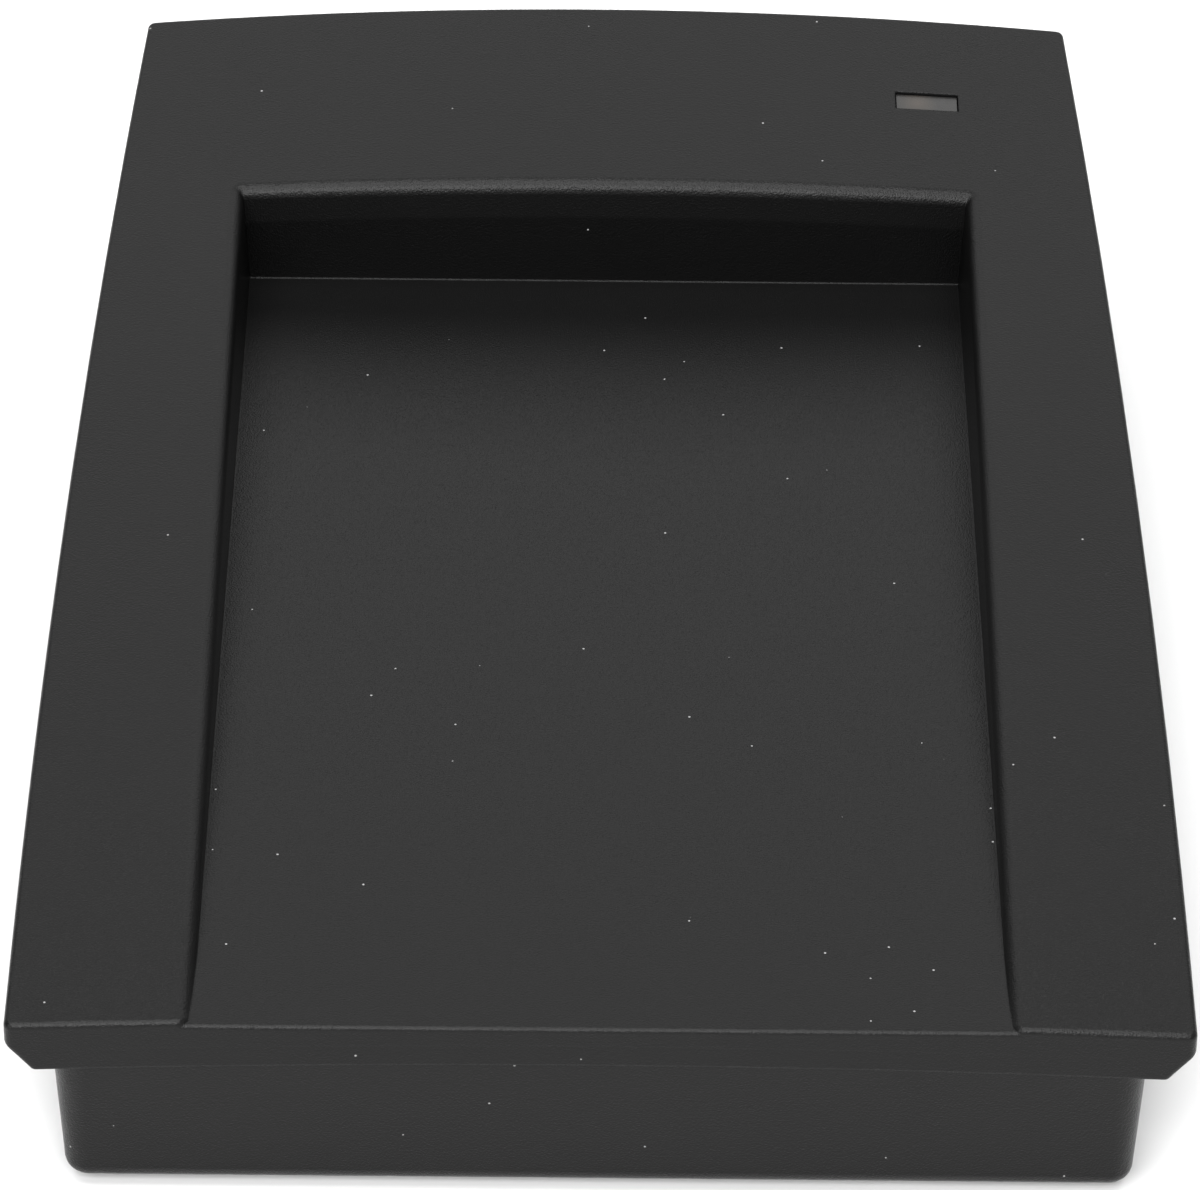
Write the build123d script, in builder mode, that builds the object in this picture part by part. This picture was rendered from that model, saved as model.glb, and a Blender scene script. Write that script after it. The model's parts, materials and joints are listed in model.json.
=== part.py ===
"""Desktop contactless card reader, in millimetres.

A shallow wedge of black plastic: a base, and a crowned top cover with a tray for one ID-1 card.
The tray's floor is level. The rails beside it slope down with the cover, almost to the floor at the front.
+X is the reader's right, +Y its back and +Z up. The origin is on the table, under the middle of the case.
"""

import os
from math import radians, tan

from build123d import *

# Case
case_length = 110.5
case_width = 80.0  # at the front edge, the widest place
case_height = 26.1  # at the middle of the back edge, feet included
back_width = 72.2
middle_width = 77.9
plan_corner = 0.6
front_height = 16.15  # the crowned surface at the middle of the front edge, if it ran on over the tray
front_crown_radius = 900.0
back_crown_radius = 440.0
back_bulge = 0.3  # how far the back edge bows out in plan
foot_stand = 0.6  # how far the feet stand out below the base
skin = 2.0
edge_radius = 0.4

# Cover
band = 3.9  # height of the cover's edge band
band_chamfer_in = 1.65
band_chamfer_up = 2.05
band_rounding = 0.35  # where the chamfer meets the side and the underside
groove_roof = 2.2  # from the outer surface down to the roof of the groove that takes the base's wall
lip_depth = 2.0
lip_thickness = 1.25
lip_gap = 0.15

# Tray for an ID-1 card, 85.6 x 54 mm
tray_width = 54.7
tray_length = 88.0
tray_floor = 15.4  # height of its floor above the table
tray_draft = 2.5
tray_edge_radius = 1.0
tray_front_radius = 0.3

# Base
base_side_inset = 3.55  # at the bottom of the base, from the cover's edge
base_front_inset = 0.92
base_back_inset = 1.7
base_draft = 2.9
base_corner = 1.6
base_bottom_radius = 1.3
tongue_height = 1.2  # how far the base's wall stands up inside the cover's groove

# Status light
light_spot = (25.0, 44.65)
light_window = (4.9, 2.15)
light_gap = 0.1  # all round the light guide's head
light_sunk = 0.25
light_flange = (5.9, 2.7)
light_flange_height = 1.0
light_stem = (4.4, 2.0)
light_stem_bottom = 9.4
led_size = (2.0, 1.25, 0.8)
led_pitch = 2.3
led_row = 44.3  # just inside the board's edge, under the front half of the light guide
collar_wall = 0.8
collar_depth = 3.0

# Screws. A thread-forming shank is drawn at its core, a little inside its pilot hole
thread_gap = 0.05
case_screws_at = [(-31.5, -48.0), (31.5, -48.0), (-28.2, 48.9), (28.2, 48.9)]
screw_seat = 4.5  # height of the face that a screw's head bears on
column_top = 6.5
column_radius = 3.5
cover_boss_radius = 2.4
cover_boss_bottom = 6.6
cover_pilot_top = 13.2
case_screw = dict(radius=1.3, length=8.0, head_radius=2.2, head_height=1.7)

# Main board
board_bottom = 6.0
board_thickness = 1.6
board_top = board_bottom + board_thickness
board_front = 3.0
board_shoulder = 45.2  # where the board narrows, to pass the rear screw columns
board_back = 50.5
board_half_width = 29.0
board_tail_half_width = 24.4
board_screws_at = [(-26.0, 8.0), (26.0, 8.0), (-26.0, 36.0), (26.0, 36.0)]
board_post_radius = 2.5
board_screw = dict(radius=1.1, length=5.0, head_radius=2.0, head_height=1.3)

# Antenna board, under the tray
antenna_front = -49.0
antenna_back = 9.0
antenna_half_width = 23.0
antenna_thickness = 1.0
antenna_boss_height = 2.4
antenna_top = tray_floor - skin - antenna_boss_height
antenna_bottom = antenna_top - antenna_thickness
antenna_screws_at = [(-20.0, -46.0), (20.0, -46.0), (-20.0, 0.0), (20.0, 0.0)]
antenna_boss_radius = 2.0
antenna_pilot_top = tray_floor - 1.5
antenna_screw = dict(radius=0.9, length=3.5, head_radius=1.7, head_height=1.1)
coil_turns = 4
coil_track = 0.9
coil_pitch = 1.5
coil_centre_y = -23.0
coil_outer = (36.0, 38.0)
copper = 0.1
pin_pitch = 2.54
pin_count = 4
pin_side = 0.6
header_y = 6.0
antenna_socket_size = (10.4, 2.5, 2.1)

# On the main board
radio_chip_at = (-9.0, 17.0)
radio_chip_size = (7.0, 7.0, 0.9)
controller_chip_at = (8.0, 18.0)
controller_chip_size = (10.0, 10.0, 1.0)
chip_stand = 0.1  # under a chip's body
lead_width = 0.3
crystals_at = [(-9.0, 26.5), (8.0, 28.5)]
crystal_size = (10.6, 4.4, 3.2)
regulator_at = (20.0, 28.0)
regulator_size = (6.5, 3.5, 1.6)
regulator_lead_pitch = 2.3
filter_capacitor_at = (-20.0, 26.0)
filter_capacitor_radius = 2.5
filter_capacitor_height = 5.2
capacitor_base_height = 0.8
tuning_coils_at = [(-17.5, 12.5), (-17.5, 16.5)]
tuning_coil_size = (3.2, 2.5, 1.8)
chip_capacitors_at = [
    (-14.5, 20.5),
    (-2.5, 11.5),
    (-4.0, 22.5),
    (1.0, 25.0),
    (16.0, 13.0),
    (16.0, 21.0),
    (22.0, 20.0),
]
chip_resistors_at = [
    (-12.0, 10.5),
    (-8.0, 10.5),
    (-1.0, 15.0),
    (-1.0, 18.0),
    (16.0, 17.0),
    (19.0, 41.0),
    (22.0, 41.0),
]
chip_capacitor_size = (1.6, 0.8, 0.8)
chip_resistor_size = (1.6, 0.8, 0.45)
buzzer_at = (-18.5, 42.0)
buzzer_radius = 6.0
buzzer_height = 8.5

# USB type B socket
socket_width = 12.0
socket_height = 11.0
socket_length = 16.2
socket_face_y = 53.0
socket_sheet = 0.4
socket_opening = (8.6, 8.0)
socket_opening_depth = 9.0
socket_tongue = (5.6, 3.2, 8.0)
socket_gap = 0.35  # between the shell and the hole in the base's wall

# Feet and label
feet_at = {
    "front_left": (-29.0, -36.0),
    "front_right": (29.0, -36.0),
    "back_left": (-26.0, 38.0),
    "back_right": (26.0, 38.0),
}
foot_radius = 4.5
foot_recess = 0.6
label_size = (44.0, 26.0)
label_y = -8.0
label_recess = 0.25
label_thickness = 0.15

front_y = -case_length / 2
back_y = case_length / 2
reach = 6.0  # how far the working blocks run past the case
base_floor_top = foot_stand + skin
on_floor = (Align.CENTER, Align.CENTER, Align.MIN)

os.makedirs("parts", exist_ok=True)


def save(part, name):
    """Labels a finished piece and writes it under its node's name."""
    part.label = name
    export_step(part, f"parts/{name}.step")


# Shared shapes


def along(y, front, back):
    """A value that changes evenly from the case's front edge to its back edge."""
    return front + (back - front) * (y - front_y) / case_length


def crown_height(x, y):
    """Height of the cover's outer surface above the table."""
    crown = along(y, 1 / front_crown_radius, 1 / back_crown_radius)
    return along(y, front_height, case_height) - x**2 / 2 * crown


def half_width(y):
    """Half the cover's width at y: nearly parallel at the front, and closing in towards the back."""
    t = (y - front_y) / case_length
    bow = 2 * middle_width - case_width - back_width
    return (case_width + (back_width - case_width) * t + bow * 2 * t * (1 - t)) / 2


def crown_block(drop):
    """Everything under the crowned surface, lowered by drop."""
    side = case_width / 2 + reach
    with BuildPart() as block:
        for y in (front_y - reach, back_y + reach):
            low = crown_height(side, y) - drop
            with BuildSketch(Plane.XZ.offset(-y)):
                with BuildLine():
                    ThreePointArc((-side, low), (0, crown_height(0, y) - drop), (side, low))
                    Polyline((side, low), (side, -reach), (-side, -reach), (-side, low))
                make_face()
        loft(ruled=True)
    return block.part


def plan_outline(height, side=0.0, front=0.0, back=0.0, corner=plan_corner):
    """The case's plan shape at a height, drawn in from the cover's edge by the amounts given."""
    y1 = front_y + front
    y2 = back_y - back
    ym = (y1 + y2) / 2
    w1, wm, w2 = (half_width(y) - side for y in (y1, ym, y2))
    with BuildSketch(Plane.XY.offset(height)) as outline:
        with BuildLine():
            Line((-w1, y1), (w1, y1))
            ThreePointArc((w1, y1), (wm, ym), (w2, y2 - back_bulge))
            ThreePointArc((w2, y2 - back_bulge), (0, y2), (-w2, y2 - back_bulge))
            ThreePointArc((-w2, y2 - back_bulge), (-wm, ym), (-w1, y1))
        make_face()
        fillet(outline.vertices(), corner)
    return outline.sketch


def depth_of(edge):
    """How far an edge's middle lies below the cover's outer surface."""
    middle = edge.center()
    return crown_height(middle.X, middle.Y) - middle.Z


def near_crown(edges):
    """The edges that lie on the cover's outer surface."""
    return [e for e in edges if abs(depth_of(e)) < 0.6]


def chamfer_wedge(hand):
    """What the chamfer takes off the band's lower edge, along the right side (hand 1) or the left (-1)."""
    past = 1.0
    with BuildPart() as wedge:
        for t in (-0.05, 0.2, 0.5, 0.8, 1.05):
            y = front_y + t * case_length
            x = half_width(y)
            low = crown_height(x - band_chamfer_in, y) - band
            high = low + band_chamfer_up * (band_chamfer_in + past) / band_chamfer_in
            inner, outer = hand * (x - band_chamfer_in), hand * (x + past)
            with BuildSketch(Plane.XZ.offset(-y)):
                Polygon((inner, low), (outer, high), (outer, low - past), (inner, low - past), align=None)
        loft()
    return wedge.part


def add_box(low, high, mode=Mode.ADD):
    """A box from its lowest to its highest corner, in the part being built."""
    with Locations(tuple((a + b) / 2 for a, b in zip(low, high))):
        Box(*(b - a for a, b in zip(low, high)), mode=mode)


def add_light_box(size, grow, low, high=case_height, mode=Mode.ADD):
    """A block round the status light's middle, its plan size grown all round, between two heights."""
    with Locations((*light_spot, low)):
        Box(size[0] + 2 * grow, size[1] + 2 * grow, high - low, align=on_floor, mode=mode)


def add_post(spots, radius, low, high, mode=Mode.ADD):
    """Upright round posts, or holes, between two heights."""
    with Locations([(x, y, low) for x, y in spots]):
        Cylinder(radius, high - low, align=on_floor, mode=mode)


def cross_screw(radius, length, head_radius, head_height):
    """A pan-head screw, head down, its seat at the origin and its shank up +Z, with a cross recess."""
    slot = (1.3 * head_radius, 0.3 * head_radius)
    with BuildPart() as screw:
        with Locations((0, 0, -head_height)):
            Cylinder(head_radius, head_height, align=on_floor)
        fillet(screw.edges().filter_by(GeomType.CIRCLE).sort_by(Axis.Z)[0], head_height / 3)
        with Locations((0, 0, -head_height)):
            Box(*slot, 0.6 * head_height, align=on_floor, mode=Mode.SUBTRACT)
            Box(slot[1], slot[0], 0.6 * head_height, align=on_floor, mode=Mode.SUBTRACT)
        Cylinder(radius - thread_gap, length, align=on_floor)
        chamfer(screw.edges().filter_by(GeomType.CIRCLE).sort_by(Axis.Z)[-1], radius / 3)
    return screw.part


def set_of(part, places):
    """The same piece at each place, as separate solids of one node."""
    with BuildPart() as group:
        with Locations(*places):
            add(part)
    return group.part


def board_block(spots, size, stand=0.0):
    """The same block on the main board at each spot, lifted off it by stand."""
    with BuildPart() as block:
        with Locations([(x, y, board_top + stand) for x, y in spots]):
            Box(*size, align=on_floor)
    return block.part


def gull_leads(spot, size, count, pitch):
    """The leads on all four sides of a flat chip, each stepping down from its body to the board."""
    shoulder = size[2] / 2 + chip_stand
    profile = [(0, 0.1), (0.3, 0.1), (0.55, 0.15 - shoulder), (1.0, 0.15 - shoulder)]
    profile += [(1.0, -shoulder), (0.4, -shoulder), (0.2, -0.05), (0, -0.05)]
    with BuildPart() as lead:
        with BuildSketch(Plane.XZ):
            Polygon(*profile, align=None)
        extrude(amount=lead_width / 2, both=True)
    places = []
    for turn in range(4):
        for i in range(count):
            step = (i - (count - 1) / 2) * pitch
            place = Location((*spot, board_top + shoulder)) * Location((0, 0, 0), (0, 0, 90 * turn))
            places.append(place * Location((size[0] / 2, step, 0)))
    return set_of(lead.part, places)


def base_block(low, inset):
    """The base's outer form, or its hollow, from a height upwards, drawn in by inset."""
    grow = (low - foot_stand) * tan(radians(base_draft)) - inset
    outline = plan_outline(
        low,
        side=base_side_inset - grow,
        front=base_front_inset - grow,
        back=base_back_inset - grow,
        corner=base_corner,
    )
    with BuildPart() as block:
        extrude(outline, amount=case_height, taper=-base_draft)
    return block.part


# The cover's lip stands inside the base's wall, which leans outwards as it rises
lean_at_lip = (front_height - band - lip_depth - foot_stand) * tan(radians(base_draft))
lip_in = skin + lip_gap - lean_at_lip
lip_insets = dict(
    side=base_side_inset + lip_in,
    front=base_front_inset + lip_in,
    back=base_back_inset + lip_in,
)
cavity_insets = {name: inset + lip_thickness for name, inset in lip_insets.items()}

outer_surface = crown_block(0)
skin_surface = crown_block(skin)
groove_surface = crown_block(groove_roof)
band_surface = crown_block(band)
lip_surface = crown_block(band + lip_depth)

tray_back = front_y + tray_length
tub_low = (-tray_width / 2 - skin, front_y, tray_floor - skin)
tub_high = (tray_width / 2 + skin, tray_back + skin, tray_floor)
light_x, light_y = light_spot
light_deck = crown_height(light_x, light_y)

# Top cover

with BuildPart() as lip_prism:
    extrude(plan_outline(0, **lip_insets, corner=base_corner + 0.5), amount=case_height)

with BuildPart() as lip_ring:
    add(lip_prism.part)
    add(skin_surface, mode=Mode.INTERSECT)
    add(lip_surface, mode=Mode.SUBTRACT)

with BuildPart() as groove:
    add(base_block(foot_stand, -lip_gap))
    add(groove_surface, mode=Mode.INTERSECT)
    add(lip_prism.part, mode=Mode.SUBTRACT)

with BuildPart() as tub:
    add_box(tub_low, (tub_high[0], tub_high[1], case_height))
    add(groove_surface, mode=Mode.INTERSECT)

with BuildPart() as tray_base:
    add_box(tub_low, tub_high)
    fillet(tray_base.edges().filter_by(Axis.X).group_by(Axis.Z)[-1].sort_by(Axis.Y)[0], tray_front_radius)

with BuildPart() as cover_hollow:
    extrude(plan_outline(0, **cavity_insets), amount=case_height)
    add(skin_surface, mode=Mode.INTERSECT)
    add_box(tub_low, (tub_high[0], tub_high[1], case_height), mode=Mode.SUBTRACT)

with BuildPart() as cover_bosses:
    add_post(case_screws_at, cover_boss_radius, cover_boss_bottom, case_height)
    add(groove_surface, mode=Mode.INTERSECT)

with BuildPart() as light_collar:
    add_light_box(light_flange, light_gap + collar_wall, light_deck - skin - collar_depth)
    add(groove_surface, mode=Mode.INTERSECT)

with BuildPart() as light_flange_room:
    add_light_box(light_flange, light_gap, 0)
    add(skin_surface, mode=Mode.INTERSECT)

with BuildPart() as top_cover:
    extrude(plan_outline(0), amount=case_height + reach)
    add(outer_surface, mode=Mode.INTERSECT)
    add(band_surface, mode=Mode.SUBTRACT)
    for hand in (-1, 1):
        add(chamfer_wedge(hand), mode=Mode.SUBTRACT)
    fillet(near_crown(top_cover.edges()), edge_radius)
    side_edges = [e for e in top_cover.edges() if e.length > 0.9 * case_length]
    fillet([e for e in side_edges if depth_of(e) > 1], band_rounding)
    add(tub.part)
    add(lip_ring.part)
    # The tray is cut too deep, its rim is rounded, and its floor is then put in. So the rounding runs
    # out through the floor near the front, where the tray is shallower than the rounding.
    with BuildSketch(Plane.XY.offset(tray_floor)) as tray_plan:
        with Locations((0, front_y - reach)):
            Rectangle(tray_width, tray_length + reach, align=(Align.CENTER, Align.MIN))
    extrude(tray_plan.sketch, amount=case_height, taper=-tray_draft, mode=Mode.SUBTRACT)
    extrude(tray_plan.sketch, amount=-1.2 * tray_edge_radius, mode=Mode.SUBTRACT)
    tray_rim = [
        edge
        for edge in near_crown(top_cover.edges())
        if abs(edge.center().X) < tub_high[0] and front_y + reach < edge.center().Y < tub_high[1]
    ]
    fillet(tray_rim, tray_edge_radius)
    add(tray_base.part)
    add(cover_hollow.part, mode=Mode.SUBTRACT)
    add(groove.part, mode=Mode.SUBTRACT)
    add(cover_bosses.part)
    add_post(case_screws_at, case_screw["radius"], cover_boss_bottom, cover_pilot_top, Mode.SUBTRACT)
    add(light_collar.part)
    add(light_flange_room.part, mode=Mode.SUBTRACT)
    add_light_box(light_window, 0, 0, mode=Mode.SUBTRACT)
    add_post(antenna_screws_at, antenna_boss_radius, antenna_top, tray_floor - skin / 2)
    add_post(antenna_screws_at, antenna_screw["radius"], antenna_top, antenna_pilot_top, Mode.SUBTRACT)
save(top_cover.part, "top_cover")

# Base

with BuildPart() as base_hollow:
    add(base_block(base_floor_top, skin))

with BuildPart() as base_housing:
    add(base_block(foot_stand, 0))
    fillet(base_housing.faces().sort_by(Axis.Z)[0].edges(), base_bottom_radius)
    add(crown_block(band - tongue_height), mode=Mode.INTERSECT)
    add(base_hollow.part, mode=Mode.SUBTRACT)
    add_post(case_screws_at, column_radius, base_floor_top - 1, column_top)
    add_post(case_screws_at, case_screw["radius"] + 0.15, 0, column_top, Mode.SUBTRACT)
    add_post(case_screws_at, case_screw["head_radius"] + 0.3, 0, screw_seat, Mode.SUBTRACT)
    add_post(board_screws_at, board_post_radius, base_floor_top - 1, board_bottom)
    add_post(board_screws_at, board_screw["radius"], base_floor_top - 0.5, board_bottom, Mode.SUBTRACT)
    add_post(feet_at.values(), foot_radius + 0.1, 0, foot_stand + foot_recess, Mode.SUBTRACT)
    label_room = [side / 2 + 0.3 for side in label_size]
    add_box(
        (-label_room[0], label_y - label_room[1], 0),
        (label_room[0], label_y + label_room[1], foot_stand + label_recess),
        Mode.SUBTRACT,
    )
    socket_hole = socket_width / 2 + socket_gap
    add_box(
        (-socket_hole, board_back, board_top - socket_gap),
        (socket_hole, back_y + reach, board_top + socket_height + socket_gap),
        Mode.SUBTRACT,
    )
save(base_housing.part, "base_housing")

# Status light, under the cover's window

with BuildPart() as light_flange_plate:
    add_light_box(light_flange, 0, light_deck - skin - light_flange_height)
    add(skin_surface, mode=Mode.INTERSECT)

with BuildPart() as status_lens:
    add_light_box(light_window, -light_gap, light_deck - skin - light_flange_height)
    add(crown_block(light_sunk), mode=Mode.INTERSECT)
    add(light_flange_plate.part)
    add_light_box(light_stem, 0, light_stem_bottom, light_deck - skin - light_flange_height / 2)
save(status_lens.part, "status_lens")

led_spots = [(light_x - led_pitch / 2, led_row), (light_x + led_pitch / 2, led_row)]
save(board_block(led_spots, led_size), "status_leds")

# Main board

with BuildPart() as main_board:
    with BuildSketch(Plane.XY.offset(board_bottom)):
        with BuildLine():
            right_side = [
                (board_half_width, board_front),
                (board_half_width, board_shoulder),
                (board_tail_half_width, board_shoulder),
                (board_tail_half_width, board_back),
            ]
            Polyline(*right_side, *[(-x, y) for x, y in reversed(right_side)], close=True)
        make_face()
        with Locations(*board_screws_at):
            Circle(board_screw["radius"] + 0.2, mode=Mode.SUBTRACT)
    extrude(amount=board_thickness)
save(main_board.part, "main_board")

save(board_block([radio_chip_at], radio_chip_size, chip_stand), "radio_chip")
save(gull_leads(radio_chip_at, radio_chip_size, 8, 0.75), "radio_chip_leads")
save(board_block([controller_chip_at], controller_chip_size, chip_stand), "controller_chip")
save(gull_leads(controller_chip_at, controller_chip_size, 11, 0.8), "controller_chip_leads")
save(board_block(tuning_coils_at, tuning_coil_size), "tuning_coils")
save(board_block(chip_capacitors_at, chip_capacitor_size), "chip_capacitors")
save(board_block(chip_resistors_at, chip_resistor_size), "chip_resistors")

with BuildPart() as crystals:
    with BuildSketch(Plane.XY.offset(board_top)):
        with Locations(*crystals_at):
            SlotOverall(crystal_size[0], crystal_size[1])
    extrude(amount=crystal_size[2])
    fillet(crystals.faces().group_by(Axis.Z)[-1].edges(), 0.5)
save(crystals.part, "crystals")

save(board_block([regulator_at], regulator_size, chip_stand), "voltage_regulator")
with BuildPart() as regulator_leads:
    side = regulator_size[1] / 2
    foot_reach = 1.7
    for i in (-1, 0, 1):
        with Locations((regulator_at[0] + i * regulator_lead_pitch, regulator_at[1] - side, board_top)):
            Box(0.7, foot_reach, 0.3, align=(Align.CENTER, Align.MAX, Align.MIN))
    with Locations((regulator_at[0], regulator_at[1] + side, board_top)):
        Box(3.0, foot_reach, 0.3, align=(Align.CENTER, Align.MIN, Align.MIN))
save(regulator_leads.part, "regulator_leads")

with BuildPart() as capacitor_base:
    base_side = 2 * filter_capacitor_radius + 0.3
    with Locations((*filter_capacitor_at, board_top)):
        Box(base_side, base_side, capacitor_base_height, align=on_floor)
    chamfer(capacitor_base.edges().filter_by(Axis.Z).sort_by(Axis.X)[-2:], 1.0)
save(capacitor_base.part, "capacitor_base")

with BuildPart() as filter_capacitor:
    can_bottom = board_top + capacitor_base_height
    add_post([filter_capacitor_at], filter_capacitor_radius, can_bottom, board_top + filter_capacitor_height)
    fillet(filter_capacitor.edges().group_by(Axis.Z)[-1], 0.4)
save(filter_capacitor.part, "filter_capacitor")

with BuildPart() as buzzer:
    add_post([buzzer_at], buzzer_radius, board_top, board_top + buzzer_height)
    chamfer(buzzer.edges().group_by(Axis.Z)[-1], 0.4)
    add_post([buzzer_at], 1.1, board_top + buzzer_height - 1.5, board_top + buzzer_height, Mode.SUBTRACT)
save(buzzer.part, "buzzer")

# Antenna board, screwed up under the tray and plugged into the main board

header_pins = [((i - (pin_count - 1) / 2) * pin_pitch, header_y) for i in range(pin_count)]

with BuildPart() as antenna_board:
    with Locations((0, antenna_front, antenna_bottom)):
        Box(
            2 * antenna_half_width,
            antenna_back - antenna_front,
            antenna_thickness,
            align=(Align.CENTER, Align.MIN, Align.MIN),
        )
    add_post(antenna_screws_at, antenna_screw["radius"] + 0.2, antenna_bottom, antenna_top, Mode.SUBTRACT)
    add_post(header_pins, 0.5, antenna_bottom, antenna_top, Mode.SUBTRACT)
save(antenna_board.part, "antenna_board")

with BuildPart() as antenna_coil:
    corners = [(-coil_outer[0] / 2, coil_centre_y + coil_outer[1] / 2 + coil_pitch)]
    for turn in range(coil_turns):
        x = coil_outer[0] / 2 - turn * coil_pitch
        y = coil_outer[1] / 2 - turn * coil_pitch
        corners += [(-x, coil_centre_y - y), (x, coil_centre_y - y), (x, coil_centre_y + y)]
        corners.append((-x + coil_pitch, coil_centre_y + y))
    with BuildSketch(Plane.XY.offset(antenna_bottom - copper)):
        with BuildLine() as spiral:
            Polyline(*corners)
        trace(spiral.line, coil_track)
    extrude(amount=copper)
save(antenna_coil.part, "antenna_coil")

with BuildPart() as antenna_socket:
    with Locations((0, header_y, board_top)):
        Box(*antenna_socket_size, align=on_floor)
    with Locations([(x, y, board_top + 0.3) for x, y in header_pins]):
        Box(pin_side + 0.2, pin_side + 0.2, antenna_socket_size[2], align=on_floor, mode=Mode.SUBTRACT)
save(antenna_socket.part, "antenna_socket")

with BuildPart() as antenna_pins:
    with Locations([(x, y, board_top + 0.5) for x, y in header_pins]):
        Box(pin_side, pin_side, antenna_top + 0.8 - board_top - 0.5, align=on_floor)
save(antenna_pins.part, "antenna_pins")

# USB type B socket, on the main board and through the base's back wall

socket_back_y = socket_face_y - socket_length
half_socket = socket_width / 2
socket_middle = board_top + socket_height / 2

with BuildPart() as usb_shell:
    add_box((-half_socket, socket_back_y, board_top), (half_socket, socket_face_y, board_top + socket_height))
    add_box(
        (-half_socket + socket_sheet, socket_back_y, board_top + socket_sheet),
        (half_socket - socket_sheet, socket_face_y, board_top + socket_height - socket_sheet),
        Mode.SUBTRACT,
    )
save(usb_shell.part, "usb_shell")

with BuildPart() as usb_insulator:
    add_box(
        (-half_socket + socket_sheet, socket_back_y, board_top + socket_sheet),
        (half_socket - socket_sheet, socket_face_y - socket_sheet, board_top + socket_height - socket_sheet),
    )
    opening_floor_y = socket_face_y - socket_sheet - socket_opening_depth
    with BuildSketch(Plane.XZ.offset(-opening_floor_y)) as opening:
        with Locations((0, socket_middle)):
            Rectangle(*socket_opening)
        chamfer(opening.vertices().group_by(Axis.Z)[-1], 1.6)
    extrude(opening.sketch, amount=-socket_opening_depth, mode=Mode.SUBTRACT)
    tongue_x, tongue_z, tongue_y = socket_tongue
    add_box(
        (-tongue_x / 2, opening_floor_y, socket_middle - tongue_z / 2),
        (tongue_x / 2, opening_floor_y + tongue_y, socket_middle + tongue_z / 2),
    )
save(usb_insulator.part, "usb_insulator")

with BuildPart() as usb_contacts:
    contact_width, contact_thickness, contact_pitch = 1.2, 0.15, 2.5
    above = (tongue_z + contact_thickness) / 2
    for x in (-contact_pitch / 2, contact_pitch / 2):
        for z in (socket_middle - above, socket_middle + above):
            with Locations((x, opening_floor_y, z)):
                Box(
                    contact_width,
                    tongue_y - 1,
                    contact_thickness,
                    align=(Align.CENTER, Align.MIN, Align.CENTER),
                )
save(usb_contacts.part, "usb_contacts")

# Screws

case_seats = [(x, y, screw_seat) for x, y in case_screws_at]
save(set_of(cross_screw(**case_screw), case_seats), "case_screws")

antenna_seats = [(x, y, antenna_bottom) for x, y in antenna_screws_at]
save(set_of(cross_screw(**antenna_screw), antenna_seats), "antenna_screws")

head_up = (180, 0, 0)
board_seats = [Location((x, y, board_top), head_up) for x, y in board_screws_at]
save(set_of(cross_screw(**board_screw), board_seats), "board_screws")

# Feet and label, under the base

for place, spot in feet_at.items():
    with BuildPart() as foot:
        add_post([spot], foot_radius, 0, foot_stand + foot_recess)
        fillet(foot.edges().group_by(Axis.Z)[0], 0.4)
    save(foot.part, f"foot_{place}")

with BuildPart() as blank_label:
    with BuildSketch(Plane.XY.offset(foot_stand + label_recess - label_thickness)):
        with Locations((0, label_y)):
            RectangleRounded(*label_size, 1.0)
    extrude(amount=label_thickness)
save(blank_label.part, "blank_label")
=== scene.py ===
import json
import math

import bmesh
import bpy
from mathutils import Matrix, Vector


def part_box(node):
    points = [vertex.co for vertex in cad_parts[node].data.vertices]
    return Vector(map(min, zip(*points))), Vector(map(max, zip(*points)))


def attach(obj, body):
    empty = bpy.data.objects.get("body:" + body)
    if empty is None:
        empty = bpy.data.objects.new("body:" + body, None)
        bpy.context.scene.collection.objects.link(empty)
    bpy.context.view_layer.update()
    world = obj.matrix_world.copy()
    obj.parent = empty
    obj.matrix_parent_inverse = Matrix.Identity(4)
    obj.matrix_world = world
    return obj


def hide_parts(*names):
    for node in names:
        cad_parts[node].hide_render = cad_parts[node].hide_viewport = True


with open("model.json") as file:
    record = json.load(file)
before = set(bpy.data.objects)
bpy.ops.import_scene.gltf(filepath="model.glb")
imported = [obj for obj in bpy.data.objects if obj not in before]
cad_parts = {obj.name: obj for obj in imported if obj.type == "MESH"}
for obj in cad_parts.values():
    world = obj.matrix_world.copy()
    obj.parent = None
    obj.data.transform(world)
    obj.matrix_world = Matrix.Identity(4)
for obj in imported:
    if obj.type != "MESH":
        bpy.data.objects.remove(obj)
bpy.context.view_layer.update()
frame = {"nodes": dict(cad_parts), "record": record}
nodes = frame["nodes"]
mm = 0.001
print("frame loaded:", len(nodes), "nodes")


# Camera, floor and light

cameraSetup = {
    "place": (-1.94 * mm, -397.72 * mm, 312.87 * mm),
    "pitch": 37.3,  # degrees below the horizon, as the two turns below are degrees
    "yaw": 0.257,
    "roll": 0.702,
    "lens": 203.1,  # focal length and sensor width, in the camera's own millimetres
    "sensor": 36.0,
}


def addCamera(setup):
    pitch, yaw, roll = (math.radians(setup[key]) for key in ("pitch", "yaw", "roll"))
    forward = Vector((math.sin(yaw) * math.cos(pitch), math.cos(yaw) * math.cos(pitch), -math.sin(pitch)))
    level = Vector((math.cos(yaw), -math.sin(yaw), 0))
    upright = level.cross(forward)
    right = level * math.cos(roll) + upright * math.sin(roll)
    up = upright * math.cos(roll) - level * math.sin(roll)
    camera = bpy.data.objects.new("camera", bpy.data.cameras.new("camera"))
    camera.data.lens = setup["lens"]
    camera.data.sensor_width = setup["sensor"]
    turn = Matrix((right, up, -forward)).transposed().to_4x4()
    camera.matrix_world = Matrix.Translation(setup["place"]) @ turn
    bpy.context.scene.collection.objects.link(camera)
    bpy.context.scene.camera = camera


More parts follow.
